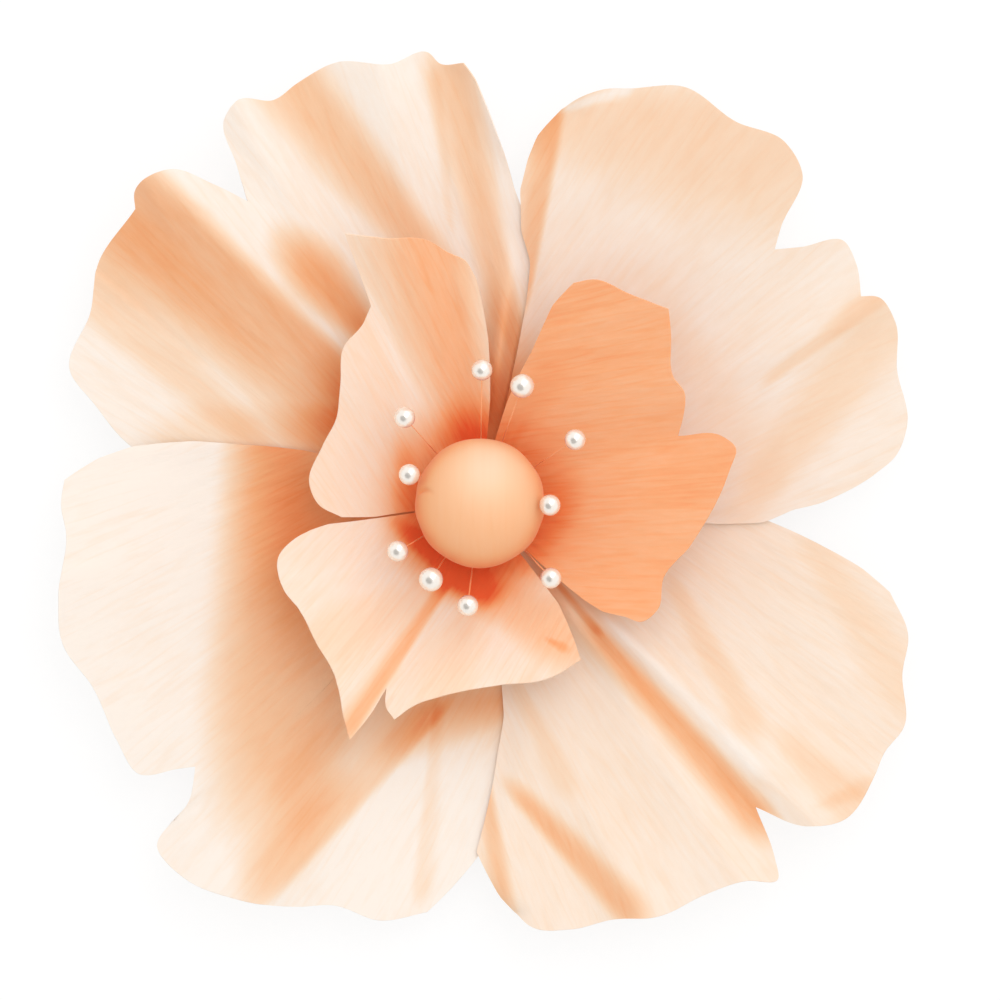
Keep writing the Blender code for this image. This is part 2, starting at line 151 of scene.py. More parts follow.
# %% The inner petals
INNER_PETALS = {
    "petal_inner_upper_left": {
        "right_side": [(0.0, 83), (0.345, 84.4), (0.545, 87.1), (0.743, 91)],
        "rim": [(0.802, 93.6), (0.83, 96.9), (0.88, 100.9), (0.932, 110.3), (0.995, 116.6, "sharp"),
            (0.83, 117.9), (0.747, 118.9, "sharp"), (0.708, 123.1), (0.687, 131), (0.608, 139.7),
            (0.553, 149.6), (0.555, 160), (0.57, 173), (0.535, 180.5)],
        "left_side": [(0.0, 185.5), (0.35, 187.5), (0.463, 185.8)],
        "folds": [
            ((0.20, 122), (0.80, 118), -0.08, 0.20, 0.20),
            ((0.30, 97), (0.80, 97), -0.03, 0.10, 0.12),
        ],
        "creases": [((0.35, 103), (0.82, 96.5), -0.005, 0.014, 0.030)],
    },
    "petal_inner_lower_left": {
        "right_side": [(0.0, 189), (0.422, 188.2), (0.508, 187.9), (0.57, 189.1)],
        "rim": [(0.622, 190.8), (0.692, 195.1), (0.71, 203.2), (0.695, 210.3), (0.712, 221), (0.742, 229.4),
            (0.842, 237.9), (0.893, 241.2, "sharp"), (0.79, 242.6), (0.69, 243.2, "sharp"), (0.747, 245.5),
            (0.77, 248.4, "sharp"), (0.715, 251.2), (0.647, 259.9), (0.607, 276.3), (0.623, 291.3)],
        "left_side": [(0.0, 309), (0.42, 308), (0.618, 302.7)],
        "folds": [((0.20, 244), (0.80, 243), -0.08, 0.20, 0.20)],
    },
    "petal_inner_right": {
        "right_side": [(0.0, -48), (0.47, -43), (0.543, -41.5), (0.61, -38.1)],
        "rim": [(0.663, -36.4), (0.685, -31), (0.655, -22), (0.708, -11.7), (0.78, 0), (0.832, 7.8),
            (0.863, 12.3), (0.828, 15.6), (0.693, 18.7, "sharp"), (0.735, 23.4), (0.77, 28.5), (0.765, 33),
            (0.843, 41.6), (0.893, 45.8, "sharp"), (0.847, 54.6), (0.827, 63.1)],
        "left_side": [(0.0, 79), (0.35, 75), (0.535, 71.1), (0.697, 69.8), (0.79, 66.9)],
        "folds": [((0.20, 20), (0.70, 18.7), -0.05, 0.20, 0.20)],
        "creases": [((0.55, 60), (0.80, 64.3), -0.005, 0.020, 0.020)],
    },
}
print("petals:", len(OUTER_PETALS) + len(INNER_PETALS))

# %% [markdown]
# ## The petal's surface
# The plan of a petal is a grid that fans out from its narrow end, the claw, to its rim. Both sides may lean,
# and the lean fades across the petal. The height over each plan point is a shallow bowl, a step where the
# petal laps over a neighbour, and the folds, creases and humps. This could be sculpted by hand, but a rule
# keeps each petal clear of its neighbours.


# %% From outline to plan grid
def smoothstep(x):
    x = np.clip(x, 0.0, 1.0)
    return x * x * (3 - 2 * x)


def plan_points(polar, reach):
    """Plan x and y of (share of reach, degrees) points."""
    shares = np.array([point[0] for point in polar])
    angles = np.array([point[1] for point in polar]) * DEGREE
    return reach * np.stack([shares * np.cos(angles), shares * np.sin(angles)], axis=1)


def smooth_run(points, pitch):
    """A smooth curve through the points, in steps of about the pitch. It leaves out the last point."""
    along = np.concatenate([[0.0], np.cumsum(np.linalg.norm(np.diff(points, axis=0), axis=1))])
    slopes = np.gradient(points, along, axis=0)
    samples = []
    for i in range(len(points) - 1):
        length = along[i + 1] - along[i]
        steps = max(1, round(length / pitch))
        for u in np.arange(steps) / steps:
            samples.append(
                (2 * u**3 - 3 * u**2 + 1) * points[i]
                + (u**3 - 2 * u**2 + u) * length * slopes[i]
                + (3 * u**2 - 2 * u**3) * points[i + 1]
                + (u**3 - u**2) * length * slopes[i + 1]
            )
    return samples


def rim_curve(petal, reach, pitch):
    """Points along the rim from the clockwise corner to the other, smooth but for the sharp ones."""
    polar = [petal["right_side"][-1], *petal["rim"], petal["left_side"][-1]]
    plan = plan_points(polar, reach)
    corners = [i for i, point in enumerate(polar) if len(point) == 3]
    ends = [0, *corners, len(polar) - 1]
    samples = []
    for first, last in zip(ends, ends[1:]):
        samples += smooth_run(plan[first : last + 1], pitch)
    return np.array([*samples, plan[-1]])


def side_angle(side, shares):
    """The angle of a petal's side at these shares of the reach."""
    return np.interp(shares, [point[0] for point in side], [point[1] for point in side]) * DEGREE


def petal_plan(petal, ring, pitch, rows):
    """Plan x and y of the petal's grid, and each point's share of the way between the two sides."""
    reach, claw = ring["reach"], ring["claw"]
    rim = rim_curve(petal, reach, pitch)
    radius = np.linalg.norm(rim, axis=1)
    angle = np.arctan2(rim[:, 1], rim[:, 0])
    right = side_angle(petal["right_side"], radius / reach)
    left = side_angle(petal["left_side"], radius / reach)
    middle = (right + left) / 2
    angle = middle + np.mod(angle - middle + math.pi, 2 * math.pi) - math.pi
    across = (angle - right) / (left - right)
    along = np.linspace(0, 1, rows + 1)[:, None]
    radii = claw + (radius[None, :] - claw) * along
    lean_right = side_angle(petal["right_side"], radii / reach) - right
    lean_left = side_angle(petal["left_side"], radii / reach) - left
    angles = angle + lean_right * (1 - across) ** 2 + lean_left * across**2
    return radii * np.cos(angles), radii * np.sin(angles), np.broadcast_to(across, radii.shape)


# %% The height over the plan
CREASE_ROUNDING = 0.4 * MM
LAP_FROM, LAP_OVER = 0.2, 0.6  # where across the petal one side's lap passes into the other's
CALM_SHARE = 0.14  # the share of the width, beside an open side, in which folds die out


def grow(along):
    """A fold grows along its line and runs on to the rim."""
    return smoothstep(along)


def swell(along):
    """A hump grows quickly along its line and dies out again."""
    return smoothstep(3 * along) * smoothstep(1.5 * (1 - along))


def fold_height(fold, x, y, reach, rounding, growth):
    """How far a fold lifts the paper at plan x and y."""
    start, end, height, right_width, left_width = fold
    (x0, y0), (x1, y1) = plan_points([start, end], reach)
    length = math.hypot(x1 - x0, y1 - y0)
    along = ((x - x0) * (x1 - x0) + (y - y0) * (y1 - y0)) / length**2
    off = ((x1 - x0) * (y - y0) - (y1 - y0) * (x - x0)) / length
    width = reach * np.where(off > 0, left_width, right_width)
    away = np.sqrt(off**2 + rounding**2) - rounding
    return reach * height * growth(along) * np.clip(1 - away / width, 0, None) ** 2


def petal_height(petal, x, y, across, ring):
    """The height of the petal's middle surface."""
    reach = ring["reach"]
    radii = np.hypot(x, y)
    right_lap, left_lap = petal.get("laps", (0, 0))
    lap = right_lap + (left_lap - right_lap) * smoothstep((across - LAP_FROM) / LAP_OVER)
    bowl = np.clip((radii - ring["flat"]) / (reach - ring["flat"]), 0, None) ** ring["cup"]
    height = ring["seat"] + lap * LAP_STEP + ring["rise"] * bowl
    calm = smoothstep(across / CALM_SHARE + right_lap)
    calm = calm * smoothstep((1 - across) / CALM_SHARE + left_lap)
    for fold in petal["folds"]:
        height = height + calm * fold_height(fold, x, y, reach, FOLD_ROUNDING, grow)
    for crease in petal.get("creases", []):
        height = height + calm * fold_height(crease, x, y, reach, CREASE_ROUNDING, grow)
    for hump in petal.get("humps", []):
        height = height + calm * fold_height(hump, x, y, reach, FOLD_ROUNDING, swell)
    right_angle = side_angle(petal["right_side"], radii / reach)
    span = (side_angle(petal["left_side"], radii / reach) - right_angle) * radii
    for (turn, width, start), away in zip(petal.get("turns", []), (across * span, (1 - across) * span)):
        grown = smoothstep((radii / reach - start) / TURN_GROWTH)
        height = height + turn * reach * grown * np.clip(1 - away / (width * reach), 0, None) ** 2
    return height


# %% [markdown]
# ## Dye, painted shade and grain on the petal
# Crepe is dyed in the roll, and each point of a petal carries a number for its dye and painted shading: 0 is
# the palest peach and 1 the deepest orange. Besides the paper's own tone it holds painted shade, deeper where
# petals lie over each other, where a fold turns the paper from the light and beside the inner petals, and a
# few painted highlights. It could be a painted picture, but a few soft strokes say the same in a form that can
# be read and changed. A stroke is two points in millimetres, its widths to the right and left of its line, and
# how much painted shade it adds; below 0 it is a painted highlight. The grain is a UV map in metres: its u
# runs across the crepe's ridges and its v along them, fanned out a little from the claw.

# %% Strokes of painted shade and highlight
# Painted shade along fold flanks that face away from the lamps, in overlaps and beside the inner petals;
# strokes below 0 are painted highlights
SHADE_AND_HIGHLIGHT_STROKES = {
    "petal_outer_upper_left": [
        ((-28, 27), (-62, 59), 6, 24, 0.48),
        ((-38, 18), (-70, 49), 12, 10, 0.20),
        ((-50, 17), (-75, 40), 8, 8, 0.22),
        ((-24, 36), (-32, 45), 8, 8, 0.58),
        ((-6, 57), (-9, 84), 2, 2, 0.12),
        ((-14, 55), (-36, 83), 9, 12, 0.38),
        ((5, 40), (-5, 84), 6, 8, 0.34),
        ((-30, 16), (-54, 14), 8, 9, 0.16),
    ],
    "petal_outer_lower_left": [
        ((-43, 14), (-42, -42), 17, 22, 0.44),
        ((-28, -40), (-34, -54), 9, 9, 0.16),
        ((-13, -47), (-39, -74), 11, 3, 0.30),
        ((-9, -44), (-12, -76), 2, 4, 0.12),
        ((3, -41), (-16, -45), 8, 9, 0.24),
    ],
    "petal_outer_lower_right": [
        ((16, -17), (23, -25), 1.5, 1.5, 0.25),
        ((26, -29), (55, -61), 7, 4, 0.46),
        ((10, -61), (28, -80), 4, 6, 0.38),
        ((1, -56), (5, -80), 4, 3, 0.32),
        ((41, -20), (53, -42), 5, 4, 0.14),
        ((70, -14), (84, -36), 8, 8, 0.10),
        ((66, -52), (75, -60), 7, 7, 0.16),
        ((71, -59), (76, -57), 3, 3, 0.12),
        ((27, -25), (54, -52), 2, 3, -0.08),
        ((9, -40), (16, -54), 4, 4, 0.12),
    ],
    "petal_outer_upper_right": [
        ((10, 46), (15, 76), 2.5, 8, 0.38),
        ((18, 79), (52, 73), 26, 14, 0.20),
        ((18, 79), (28, 82), 2, 2, -0.20),
        ((60, 26), (79, 40), 2, 4, 0.16),
        ((60, 8), (78, 32), 10, 12, 0.15),
        ((40, 34), (52, 14), 9, 9, 0.05),
    ],
    "petal_inner_upper_left": [
        ((-2, 20), (-9, 50), 10, 16, 0.38),
        ((-14, 22), (-21, 38), 3, 3, -0.06),
        ((-15, 7), (-14, 1), 5, 5, 0.20),
    ],
    "petal_inner_lower_left": [
        ((-7, -17), (-25, -44), 4, 2, 0.40),
        ((-14, -20), (-27, -26), 9, 9, 0.10),
        ((0, -20), (-6, -34), 8, 8, 0.12),
        ((5, -21), (14, -25), 9, 11, 0.30),
        ((15, -28), (16, -28.5), 1.5, 1.5, 0.22),
        ((-12, -8), (-3, -15), 5, 5, 0.35),
    ],
    "petal_inner_right": [
        ((12, -8), (15, -2), 6, 6, 0.10),
        ((7, 15), (12, 22), 6, 6, 0.06),
    ],
}
# The tone at the rim, the tone at the claw, and the distances in millimetres between which they blend.
# The deep claw tones are partly painted shade of the inner petals and the ball, and the deep tone of the
# inner right petal is painted shade of its side turned from the lamps.
PETAL_DYE_AND_SHADE = {
    "petal_outer_upper_left": (0.02, 0.80, 18, 48),
    "petal_outer_lower_left": (0.0, 0.66, 22, 56),
    "petal_outer_lower_right": (0.10, 0.42, 18, 40),
    "petal_outer_upper_right": (0.06, 0.85, 18, 40),
    "petal_inner_upper_left": (0.15, 0.66, 13, 24),
    "petal_inner_lower_left": (0.12, 0.84, 13, 23),
    "petal_inner_right": (0.56, 0.78, 12, 23),
}
STROKE_START = 0.6  # a stroke's width at its start, as a share of its full width
STROKE_EDGE = 1.4  # above 1, a stroke is flatter in its middle and steeper at its edge
print("strokes:", sum(len(strokes) for strokes in SHADE_AND_HIGHLIGHT_STROKES.values()))


def stroke_weight(x, y, start, end, right_width, left_width):
    """1 on the line, falling to 0 at each side's width, which grows towards the end. Millimetres."""
    x0, y0, x1, y1 = start[0] * MM, start[1] * MM, end[0] * MM, end[1] * MM
    length = math.hypot(x1 - x0, y1 - y0)
    along = ((x - x0) * (x1 - x0) + (y - y0) * (y1 - y0)) / length
    off = ((x1 - x0) * (y - y0) - (y1 - y0) * (x - x0)) / length
    beyond = along - np.clip(along, 0, length)
    spread = STROKE_START + (1 - STROKE_START) * np.clip(along / length, 0, 1)
    width = np.where(off > 0, left_width, right_width) * MM * spread
    away = np.hypot(off / width, beyond / ((right_width + left_width) * MM))
    return 1 - smoothstep(away**STROKE_EDGE)


def petal_dye_and_shading(name, x, y):
    """The tone from the rim's to the claw's, partly painted shade, and the painted shade and highlight strokes
    on top.
    """
    rim_tone, claw_tone, near, far = PETAL_DYE_AND_SHADE[name]
    fade = smoothstep((np.hypot(x, y) / MM - near) / (far - near))
    dye_and_shading = claw_tone + (rim_tone - claw_tone) * fade
    for start, end, right_width, left_width, amount in SHADE_AND_HIGHLIGHT_STROKES[name]:
        dye_and_shading = dye_and_shading + amount * stroke_weight(x, y, start, end, right_width, left_width)
    return np.clip(dye_and_shading, 0, 1)


# %% The grain's fan
FAN_DISTANCE = {"outer": 60 * MM, "inner": 200 * MM}  # how far behind the axis the ridges would meet
TRUE_SIZE_AT = 40 * MM  # the distance out at which u is true to size
GRAIN_AXES = {
    "petal_outer_upper_left": 128, "petal_outer_lower_left": 222, "petal_outer_lower_right": 310,
    "petal_outer_upper_right": 42, "petal_inner_upper_left": 118, "petal_inner_lower_left": 232,
    "petal_inner_right": 4,
}


def petal_grain(name, x, y):
    """Metres across the crepe's ridges and along them."""
    distance = FAN_DISTANCE["outer" if "outer" in name else "inner"]
    axis = GRAIN_AXES[name] * DEGREE
    forward = x * math.cos(axis) + y * math.sin(axis) + distance
    sideways = y * math.cos(axis) - x * math.sin(axis)
    return np.arctan2(sideways, forward) * (distance + TRUE_SIZE_AT), np.hypot(forward, sideways)


# %% [markdown]
# ## Building node trees
# Small helpers keep the trees below readable: one adds a node with its settings and inputs, one names a
# tree's own sockets, and the others write what several trees repeat. An input may be a number, a colour or
# another node's output.

# %% Helpers for node trees
FLOAT, COLOUR, GEOMETRY = "NodeSocketFloat", "NodeSocketColor", "NodeSocketGeometry"


def add(tree, kind, settings=None, inputs=None):
    """Adds a node, sets its settings and fills or links its inputs."""
    made = tree.nodes.new(kind)
    for key, value in (settings or {}).items():
        setattr(made, key, value)
    for key, value in (inputs or {}).items():
        if isinstance(value, bpy.types.NodeSocket):
            tree.links.new(value, made.inputs[key])
        else:
            made.inputs[key].default_value = value
    return made


def math_node(tree, operation, *values):
    return add(tree, "ShaderNodeMath", {"operation": operation}, dict(enumerate(values))).outputs[0]


def tree_sockets(tree, inputs, outputs):
    """Names the sockets of a tree and returns its group input and output nodes."""
    for name, kind, value in inputs:
        made = tree.interface.new_socket(name, in_out="INPUT", socket_type=kind)
        if value is not None:
            made.default_value = value
    for name, kind in outputs:
        tree.interface.new_socket(name, in_out="OUTPUT", socket_type=kind)
    return tree.nodes.new("NodeGroupInput"), tree.nodes.new("NodeGroupOutput")


def noise(tree, vector, scale, detail=2.0, roughness=0.5):
    """A noise value from 0 to 1 over a vector."""
    return add(
        tree, "ShaderNodeTexNoise", {"noise_dimensions": "3D"},
        {"Vector": vector, "Scale": scale, "Detail": detail, "Roughness": roughness},
    ).outputs["Fac"]


def both_ways(tree, value):  # from 0 to 1, becomes from -1 to 1
    return math_node(tree, "MULTIPLY_ADD", value, 2.0, -1.0)


def named_number(tree, name):
    """A number that the mesh's points carry under this name."""
    made = add(tree, "GeometryNodeInputNamedAttribute", {"data_type": "FLOAT"}, {"Name": name})
    return made.outputs["Attribute"]


def finish_tree(tree, geometry, material, group_out):
    """Makes instances real, gives everything its material and sends it out of the tree."""
    whole = add(tree, "GeometryNodeRealizeInstances", None, {"Geometry": geometry})
    painted = add(
        tree, "GeometryNodeSetMaterial", None, {"Geometry": whole.outputs[0], "Material": material}
    )
    tree.links.new(painted.outputs[0], group_out.inputs[0])


# %% [markdown]
# ## Crepe's ridges as real relief
# Crepe is crinkled along its whole length: long fine ridges, a millimetre or two apart, that wander and
# merge. Broader crinkles show towards the free rim, and near the claw the paper is gathered into small
# pleats. A bump map alone would leave the rim and the grazing light too smooth, so a Geometry Nodes tree
# moves the points of the fine grid along their normals, by stretched noise on the grain.

# %% The ridge tree
RIDGE_STRETCH = 7.0  # how many times longer than wide a ridge is
CRINKLE_STRETCH = 4.0
PETAL_RELIEF = {
    "Ridge Pitch": 2.0 * MM, "Ridge Height": 0.10 * MM, "Crinkle Pitch": 7.0 * MM,
    "Crinkle Height": 0.5 * MM, "Pleat Height": 0.15 * MM,
}


def ridge_tree():
    """Ridges, crinkles and pleats as real relief. It also stores how high each point stands, as crest."""
    tree = bpy.data.node_groups.new("crepe_ridges", "GeometryNodeTree")
    group_in, group_out = tree_sockets(
        tree,
        [
            ("Geometry", GEOMETRY, None), ("Material", "NodeSocketMaterial", None), ("Seed", FLOAT, 0.0),
            *((name, FLOAT, value) for name, value in PETAL_RELIEF.items()),
        ],
        [("Geometry", GEOMETRY)],
    )
    sizes = group_in.outputs
    grain = add(tree, "GeometryNodeInputNamedAttribute", {"data_type": "FLOAT_VECTOR"}, {"Name": "grain"})
    parts = add(tree, "ShaderNodeSeparateXYZ", None, {0: grain.outputs["Attribute"]}).outputs

    def waves(pitch, stretch, detail):
        """Noise drawn out along the grain, from -1 to 1."""
        u = math_node(tree, "DIVIDE", parts["X"], pitch)
        v = math_node(tree, "DIVIDE", parts["Y"], math_node(tree, "MULTIPLY", pitch, stretch))
        place = add(tree, "ShaderNodeCombineXYZ", None, {0: u, 1: v, 2: sizes["Seed"]}).outputs[0]
        return both_ways(tree, noise(tree, place, 1.0, detail))

    ridges = waves(sizes["Ridge Pitch"], RIDGE_STRETCH, 1.0)
    ridges = math_node(tree, "MULTIPLY", ridges, sizes["Ridge Height"])
    crinkles = waves(sizes["Crinkle Pitch"], CRINKLE_STRETCH, 2.0)
    crinkles = math_node(tree, "MULTIPLY", crinkles, sizes["Crinkle Height"])
    crinkles = math_node(tree, "MULTIPLY", crinkles, named_number(tree, "free"))
    pleats = math_node(tree, "MULTIPLY", named_number(tree, "pleat"), named_number(tree, "gather"))
    pleats = math_node(tree, "MULTIPLY", pleats, sizes["Pleat Height"])
    rise = math_node(tree, "ADD", math_node(tree, "ADD", ridges, crinkles), pleats)
    full = math_node(tree, "ADD", sizes["Ridge Height"], sizes["Crinkle Height"])
    share = math_node(tree, "DIVIDE", rise, full)
    marked = add(
        tree, "GeometryNodeStoreNamedAttribute", {"data_type": "FLOAT", "domain": "POINT"},
        {"Geometry": sizes["Geometry"], "Name": "crest", "Value": share},
    )
    normal = add(tree, "GeometryNodeInputNormal").outputs[0]
    shift = add(
        tree, "ShaderNodeVectorMath", {"operation": "SCALE"}, {0: normal, "Scale": rise}
    ).outputs[0]
    moved = add(tree, "GeometryNodeSetPosition", None, {"Geometry": marked.outputs[0], "Offset": shift})
    finish_tree(tree, moved.outputs[0], sizes["Material"], group_out)
    return tree


def set_inputs(modifier, values):
    """Sets a Geometry Nodes modifier's inputs by their sockets' identifiers."""
    for item in modifier.node_group.interface.items_tree:
        if item.item_type == "SOCKET" and item.in_out == "INPUT" and item.name in values:
            modifier[item.identifier] = values[item.name]


CREPE_RIDGES = ridge_tree()
print("ridge tree nodes:", len(CREPE_RIDGES.nodes))

# %% [markdown]
# ## The crepe's finish
# Dyed crepe is matt and slightly see-through: light from behind glows deeper than the light that it throws
# back. One group turns the number of dye and painted shading into colour, and can darken it towards brown
# where the painted shade is deep. Another gives the fine fibres, the wrinkles and the mottling, which the
# material paints as paler crests and deeper hollows and wrinkles. Each paper's material mixes a Principled
# surface with a Translucent one.

# %% Shader group: peach dye and painted shade
# From the palest tone to the deepest; the deeper stops also render the painted shade
DYE_RAMP = [
    (0.00, (0.98, 0.91, 0.84)),
    (0.20, (0.98, 0.78, 0.60)),
    (0.40, (0.98, 0.65, 0.41)),
    (0.60, (0.98, 0.49, 0.23)),
    (0.80, (0.96, 0.31, 0.10)),
    (1.00, (0.92, 0.14, 0.035)),
]
# Painted shade: deep tones are darkened towards this colour, most in red
SHADE_BROWN = (0.80, 0.93, 0.97)
GLOW_DEPTH = 1.4


def dye_and_shading_group():
    """Dye and painted shade, moved by mottling and by painted light on crests, become the paper's colour,
    browned where the painted shade is deep, and its glow.
    """
    tree = bpy.data.node_groups.new("peach_dye_and_shading", "ShaderNodeTree")
    group_in, group_out = tree_sockets(
        tree,
        [
            ("Dye And Shading", FLOAT, 0.3), ("Mottle", FLOAT, 0.5), ("Mottle Amount", FLOAT, 0.1),
            ("Crest", FLOAT, 0.0), ("Crest Amount", FLOAT, 0.1), ("Shade Browning", FLOAT, 0.0),
        ],
        [("Color", COLOUR), ("Glow", COLOUR)],
    )
    given = group_in.outputs
    swing = math_node(tree, "SUBTRACT", given["Mottle"], 0.5)
    swing = math_node(tree, "MULTIPLY", swing, given["Mottle Amount"])
    dye_and_shading = math_node(tree, "ADD", given["Dye And Shading"], swing)
    # Painted light and shade of the relief: paler on crests, deeper in hollows
    painted_light = math_node(tree, "MULTIPLY", given["Crest"], given["Crest Amount"])
    dye_and_shading = math_node(tree, "SUBTRACT", dye_and_shading, painted_light)
    ramp = add(tree, "ShaderNodeValToRGB", None, {"Fac": dye_and_shading})
    stops = ramp.color_ramp.elements
    while len(stops) < len(DYE_RAMP):
        stops.new(0.5)
    for stop, (place, colour) in zip(stops, DYE_RAMP):
        stop.position = place
        stop.color = (*colour, 1)
    glow = add(tree, "ShaderNodeGamma", None, {"Color": ramp.outputs[0], "Gamma": GLOW_DEPTH})
    # Painted shade: the deeper the tone, the more it is darkened towards the shade's brown
    shade_brown = add(
        tree, "ShaderNodeMix", {"data_type": "RGBA", "blend_type": "MULTIPLY"},
        {0: math_node(tree, "MULTIPLY", dye_and_shading, given["Shade Browning"]), 6: ramp.outputs[0], 7: (*SHADE_BROWN, 1)},
    )
    tree.links.new(shade_brown.outputs[2], group_out.inputs["Color"])
    tree.links.new(glow.outputs[0], group_out.inputs["Glow"])
    return tree


# %% Shader group: crepe fibres
FIBRE_STRETCH, BROAD_STRETCH = 7.0, 3.0  # how many times longer than wide fibres and mottled patches are
LONG_WIDER, LONG_LONGER = 2.2, 5.0  # how much wider and longer than a fibre a wrinkle is
WRINKLE_EDGE = 0.14  # a wrinkle lies where the long noise is this close to its middle value
MOTTLE_SCALE = 0.13


def fibre_group():
    """Fine ridges, thin wrinkles and cloudy mottling, over the grain in metres."""
    tree = bpy.data.node_groups.new("crepe_fibres", "ShaderNodeTree")
    group_in, group_out = tree_sockets(
        tree,
        [("Grain", "NodeSocketVector", None), ("Pitch", FLOAT, 0.9 * MM), ("Seed", FLOAT, 0.0)],
        [("Ridges", FLOAT), ("Wrinkles", FLOAT), ("Mottle", FLOAT)],
    )
    parts = add(tree, "ShaderNodeSeparateXYZ", None, {0: group_in.outputs["Grain"]}).outputs
    pitch, seed = group_in.outputs["Pitch"], group_in.outputs["Seed"]

    def place(across, along):
        return add(tree, "ShaderNodeCombineXYZ", None, {0: across, 1: along, 2: seed}).outputs[0]

    u = math_node(tree, "DIVIDE", parts["X"], pitch)
    v = math_node(tree, "DIVIDE", parts["Y"], math_node(tree, "MULTIPLY", pitch, FIBRE_STRETCH))
    ridges = noise(tree, place(u, v), 1.0, 3.0, 0.6)
    long_u = math_node(tree, "DIVIDE", u, LONG_WIDER)
    long_v = math_node(tree, "DIVIDE", v, LONG_LONGER)
    long_noise = noise(tree, place(long_u, long_v), 1.0, 1.0)
    level = math_node(tree, "ABSOLUTE", both_ways(tree, long_noise))
    lines = add(
        tree, "ShaderNodeMapRange", {"interpolation_type": "SMOOTHSTEP"},
        {"Value": level, "From Min": 0.0, "From Max": WRINKLE_EDGE, "To Min": 1.0, "To Max": 0.0},
    ).outputs["Result"]
    broad_v = math_node(tree, "DIVIDE", parts["Y"], math_node(tree, "MULTIPLY", pitch, BROAD_STRETCH))
    mottle = noise(tree, place(u, broad_v), MOTTLE_SCALE, 5.0, 0.65)
    tree.links.new(ridges, group_out.inputs["Ridges"])
    bundles = math_node(tree, "MULTIPLY", lines, mottle)
    tree.links.new(bundles, group_out.inputs["Wrinkles"])
    tree.links.new(mottle, group_out.inputs["Mottle"])
    return tree


PEACH_DYE_AND_SHADING = dye_and_shading_group()
CREPE_FIBRES = fibre_group()
print("dye nodes:", len(PEACH_DYE_AND_SHADING.nodes), "fibre nodes:", len(CREPE_FIBRES.nodes))


# %% The crepe material
def new_material(name):
    made = bpy.data.materials.new(name)
    made.use_nodes = True
    made.node_tree.nodes.clear()
    return made, made.node_tree


def surface_out(tree, shader):
    add(tree, "ShaderNodeOutputMaterial", None, {"Surface": shader.outputs[0]})


def between(tree, share, first, second):
    mixed = add(tree, "ShaderNodeMix", {"data_type": "RGBA"}, {0: share, 6: (*first, 1), 7: (*second, 1)})
    return mixed.outputs[2]


def own_place(tree):
    return add(tree, "ShaderNodeTexCoord").outputs["Object"]


def crepe_material(name, pitch, bump, mottle, crest, shade_browning, through, seed):
    """Dyed crepe that lets some light through, painted paler on its crests and deeper in its hollows and
    wrinkles, as painted light and shade.
    """
    made, tree = new_material(name)
    grain = add(tree, "ShaderNodeUVMap", {"uv_map": "grain"})
    dye_and_shading = add(tree, "ShaderNodeAttribute", {"attribute_name": "dye_and_shading"})
    fibres = add(
        tree, "ShaderNodeGroup", {"node_tree": CREPE_FIBRES},
        {"Grain": grain.outputs[0], "Pitch": pitch, "Seed": seed},
    )
    # Painted light and shade of the relief: crests and fine ridges pale the colour, wrinkles deepen it
    relief = add(tree, "ShaderNodeAttribute", {"attribute_name": "crest"})
    fine = both_ways(tree, fibres.outputs["Ridges"])
    crests = math_node(tree, "ADD", relief.outputs["Fac"], fine)
    crests = math_node(tree, "SUBTRACT", crests, fibres.outputs["Wrinkles"])
    colours = add(
        tree, "ShaderNodeGroup", {"node_tree": PEACH_DYE_AND_SHADING},
        {
            "Dye And Shading": dye_and_shading.outputs["Fac"], "Mottle": fibres.outputs["Mottle"], "Mottle Amount": mottle,
            "Crest": crests, "Crest Amount": crest, "Shade Browning": shade_browning,
        },
    )
    bumps = add(
        tree, "ShaderNodeBump", None,
        {"Strength": 1.0, "Distance": bump, "Height": fibres.outputs["Ridges"]},
    )
    rough = math_node(tree, "MULTIPLY_ADD", fibres.outputs["Ridges"], 0.2, 0.6)
    paper = add(
        tree, "ShaderNodeBsdfPrincipled", None,
        {
            "Base Color": colours.outputs["Color"], "Roughness": rough, "Normal": bumps.outputs[0],
            "Specular IOR Level": 0.3, "Sheen Weight": 0.15, "Sheen Roughness": 0.5,
        },
    )
    behind = add(
        tree, "ShaderNodeBsdfTranslucent", None,
        {"Color": colours.outputs["Glow"], "Normal": bumps.outputs[0]},
    )
    mixed = add(tree, "ShaderNodeMixShader", None, {0: through, 1: paper.outputs[0], 2: behind.outputs[0]})
    surface_out(tree, mixed)
    return made


OUTER_CREPE = crepe_material(
    "outer_crepe", pitch=0.9 * MM, bump=0.10 * MM, mottle=0.08, crest=0.06,
    shade_browning=0.50, through=0.24, seed=1.0,
)
INNER_CREPE = crepe_material(
    "inner_crepe", pitch=0.9 * MM, bump=0.12 * MM, mottle=0.08, crest=0.08,
    shade_browning=0.0, through=0.20, seed=5.0,
)
BALL_CREPE = crepe_material(
    "ball_crepe", pitch=1.2 * MM, bump=0.03 * MM, mottle=0.05, crest=0.02,
    shade_browning=0.0, through=0.16, seed=9.0,
)
print("nodes of one crepe paper:", len(OUTER_CREPE.node_tree.nodes))

# %% [markdown]
# ## Making the petals
# The grid comes first, with its grain, its dye and its painted shade. The ridge tree gives it relief, and
# Solidify gives it the thickness of paper, thinner than the solid of the CAD part, so that more air lies
# between the layers.

